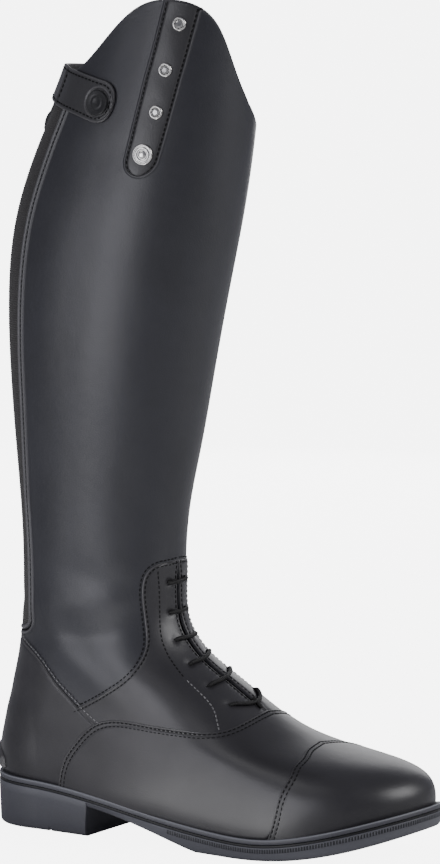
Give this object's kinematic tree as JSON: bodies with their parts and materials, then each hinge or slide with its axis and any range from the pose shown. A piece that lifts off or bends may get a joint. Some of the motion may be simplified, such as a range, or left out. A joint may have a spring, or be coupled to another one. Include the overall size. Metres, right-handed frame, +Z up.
{
  "type": "tall riding boot",
  "caption": "Black tall riding boot for the right foot: laced instep, elastic panel and zip up the back, snap tab, riveted side strap, toe cap and low rubber heel.",
  "frame": {"origin": "middle of the heel's tread, on the floor", "axes": "+X from heel to toe, +Y to the inner side of the foot, +Z up the shaft"},
  "size_m": [0.2871, 0.1022, 0.4864],
  "materials": {
    "black_leather": "smooth black leather with a fine grain and a soft gloss",
    "lining_leather": "matt dark lining",
    "slate_rubber": "matt slate-grey moulded rubber",
    "black_elastic": "ribbed black elastic and elastic cord",
    "zip_metal": "black lacquered metal, half gloss",
    "silver_metal": "polished silver"
  },
  "bodies": {
    "boot": {"upper": "black_leather", "toe_cap": "black_leather", "vamp": "black_leather", "counter": "black_leather", "facing_lateral": "black_leather", "facing_medial": "black_leather", "spur_rest": "black_leather", "tongue": "lining_leather", "insole": "lining_leather", "outsole": "slate_rubber", "welt": "slate_rubber", "stretch_panel": "black_elastic", "zip_chain": "zip_metal", "zip_stop": "black_leather", "zip_slider": "zip_metal", "snap_tab": "black_leather", "snap_button": "zip_metal", "side_strap": "black_leather", "rivet_1": "silver_metal", "rivet_2": "silver_metal", "rivet_3": "silver_metal", "rivet_large": "silver_metal", "lace_1": "black_elastic", "lace_2": "black_elastic", "lace_3": "black_elastic", "lace_4": "black_elastic", "lace_5": "black_elastic", "lace_6": "black_elastic"},
    "zip_pull": {"zip_pull": "zip_metal"}
  },
  "joints": [
    {"name": "zip_pull_hinge", "type": "hinge", "parent": "boot", "child": "zip_pull", "pos_m": [-0.00241, 0, 0.42666], "axis": [0, 1, 0], "range_deg": [0, 150]}
  ]
}
